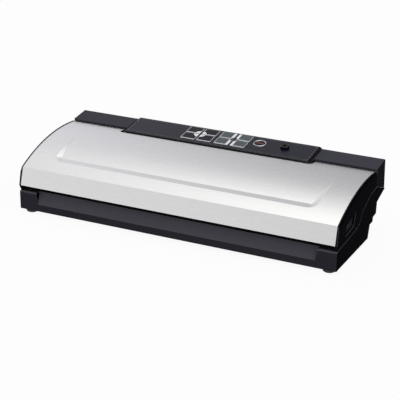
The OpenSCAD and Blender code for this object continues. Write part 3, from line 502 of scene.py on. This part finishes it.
def quarter(middle, radius, edge_x, edge_y, steps=8):
    """Arc of a circle inside a key, from the key's crosswise edge to its lengthwise edge."""
    side_x = math.copysign(radius, edge_x - middle[0])
    side_y = math.copysign(radius, edge_y - middle[1])
    start = math.asin(abs(edge_y - middle[1]) / radius)
    end = math.acos(abs(edge_x - middle[0]) / radius)
    turns = [start + (end - start) * k / steps for k in range(steps + 1)]
    return [(middle[0] + side_x * math.cos(turn), middle[1] + side_y * math.sin(turn)) for turn in turns]


def key_print(name, kind, outline, height, material):
    """Printed layer on a key's top."""
    layer = prism(outline, height + PRINT, height + 2 * PRINT)
    piece(f"{name}_{kind}", layer, material, name, PANEL, PRINT_EDGE)


def key_group(first, mark):
    """Rims and marks of four keys, two in the front row and two in the rear row."""
    names = {(row, side): f"key_{row}_{first + side}" for row in ("front", "rear") for side in (0, 1)}
    tops = {place: Top(name) for place, name in names.items()}
    middle = ((tops["rear", 0].right + tops["rear", 1].left) / 2,
              (tops["front", 0].back + tops["rear", 0].front) / 2)
    for (row, side), name in names.items():
        top = tops[row, side]
        key_rim(name, top)
        edge_x = top.left if side else top.right
        edge_y, far_y = (top.back, top.front) if row == "front" else (top.front, top.back)
        corner = (edge_x, edge_y)
        if mark == "disc":
            outline = [corner] + quarter(middle, DISC, *corner)
            key_print(name, "disc", outline, top.height, "white_print")
        else:
            inner_x = edge_x + math.copysign(STRIPE, edge_x - middle[0])
            outline = quarter(middle, DOT, *corner) + [(edge_x, far_y), (inner_x, far_y), (inner_x, edge_y)]
            key_print(name, "stripe", outline, top.height, "white_print")
            outline = [corner] + quarter(middle, DOT - DOT_EDGE, *corner)
            key_print(name, "dot", outline, top.height, "dark_keys")


def key_prints():
    """A disc across the four dark keys, and stripes round a dark dot on the four grey ones."""
    key_group(1, "disc")
    key_group(3, "stripe")


def button_bar():
    """Dark red bar across the round button."""
    top = Top("round_button")
    x, y = (top.left + top.right) / 2, (top.front + top.back) / 2
    half_length, half_width = BAR["length"] / 2, BAR["width"] / 2
    outline = rounded(x - half_length, x + half_length, y - half_width, y + half_width, BAR["corner"])
    bar = prism(outline, top.height - BAR_SUNK, top.height + 2 * PRINT)
    piece("round_button_bar", bar, "red_lens", "round_button", PANEL, 2 * PRINT_EDGE)


# ------------------------------------------------------------------ studio

AMBIENT = 0.15   # even light from all round
# Broad glows in the studio: direction, tightness, strength, tint.
GLOWS = [
    ((-0.8, 0.5, 0.3), 5, 1.02, (0.99, 0.98, 1.03)),    # left and behind
    ((-0.2, 0.15, 0.97), 14, 1.32, (1.01, 1.01, 0.97)),   # overhead
    ((0.55, -0.45, 0.7), 3, 1.3, (1.0, 1.0, 1.0)),      # right, in front and above
    ((-0.6, -0.8, 0.12), 6, 0.73, (1.0, 1.0, 1.0)),     # left, in front and low
]
FLOOR = {"reach": 40, "drop": 0.0002, "colour": (0.92, 0.92, 0.92, 1), "own_light": 0.93}
# The camera's direction and roll in degrees, its lens and sensor in mm, its place in metres.
AIM = {"turn": 25.98, "drop": 21.96, "roll": 0.36}
LENS = 117.9
SENSOR = 36
EYE = (0.602, -1.2347, 0.5765)


def studio_world():
    """A pale studio: an even level and a few broad glows, with no edges."""
    world = bpy.data.worlds.new("studio")
    bpy.context.scene.world = world
    world.use_nodes = True
    light = Tree(world.node_tree)
    outward = light.add("ShaderNodeTexCoord").outputs["Generated"]
    level = light.add("ShaderNodeCombineXYZ")
    light.feed(level, (AMBIENT, AMBIENT, AMBIENT))
    total = level.outputs[0]
    for direction, tightness, strength, colour in GLOWS:
        facing = light.maths("MAXIMUM", light.agreement(outward, Vector(direction).normalized()), 0.0)
        glow = light.maths("MULTIPLY", light.maths("POWER", facing, tightness), strength)
        tinted = light.add("ShaderNodeVectorMath", operation="SCALE")
        tinted.inputs[0].default_value = colour
        light.link(glow, tinted.inputs["Scale"])
        total = light.vector("ADD", total, tinted.outputs[0])
    background = light.tree.nodes["Background"]
    light.link(total, background.inputs["Color"])
    background.inputs["Strength"].default_value = 1.0


def floor():
    """A pale floor that the camera sees as white, with the object's shadow."""
    mesh = bpy.data.meshes.new("floor")
    made = bpy.data.objects.new("floor", mesh)
    bpy.context.scene.collection.objects.link(made)
    grid = bmesh.new()
    bmesh.ops.create_grid(grid, x_segments=1, y_segments=1, size=FLOOR["reach"])
    grid.to_mesh(mesh)
    grid.free()
    made.location.z = -FLOOR["drop"]
    m = Surface("pale_floor")
    m.set(Base_Color=FLOOR["colour"], Roughness=0.9, Specular_IOR_Level=0.1)
    glow = m.add("ShaderNodeEmission")
    glow.inputs["Color"].default_value = (1, 1, 1, 1)
    glow.inputs["Strength"].default_value = 1.0
    rays = m.add("ShaderNodeLightPath")
    seen = rays.outputs["Is Camera Ray"]
    for kind in ("Is Glossy Ray", "Is Transmission Ray"):
        seen = m.maths("MAXIMUM", seen, rays.outputs[kind])
    both = m.add("ShaderNodeMixShader")
    m.feed(both, (m.maths("MULTIPLY", seen, FLOOR["own_light"]), m.bsdf.outputs[0], glow.outputs[0]))
    m.link(both.outputs[0], m.tree.nodes["Material Output"].inputs["Surface"])
    mesh.materials.append(m.material)


def camera():
    """A long lens from the front right, a little above."""
    turn, drop, roll = (math.radians(AIM[name]) for name in ("turn", "drop", "roll"))
    forward = Vector((
        -math.sin(turn) * math.cos(drop),
        math.cos(turn) * math.cos(drop),
        -math.sin(drop),
    ))
    right = Vector((math.cos(turn), math.sin(turn), 0))
    up = right.cross(forward)
    tilted_right = right * math.cos(roll) + up * math.sin(roll)
    tilted_up = up * math.cos(roll) - right * math.sin(roll)
    data = bpy.data.cameras.new("camera")
    data.lens = LENS
    data.sensor_width = SENSOR
    made = bpy.data.objects.new("camera", data)
    bpy.context.scene.collection.objects.link(made)
    made.matrix_world = Matrix((tilted_right, tilted_up, -forward)).transposed().to_4x4()
    made.location = EYE
    bpy.context.scene.camera = made


def studio():
    """Light, floor and camera, with plain colours."""
    studio_world()
    floor()
    camera()
    bpy.context.scene.view_settings.view_transform = "Standard"


finish_cad_nodes()
key_prints()
button_bar()
studio()
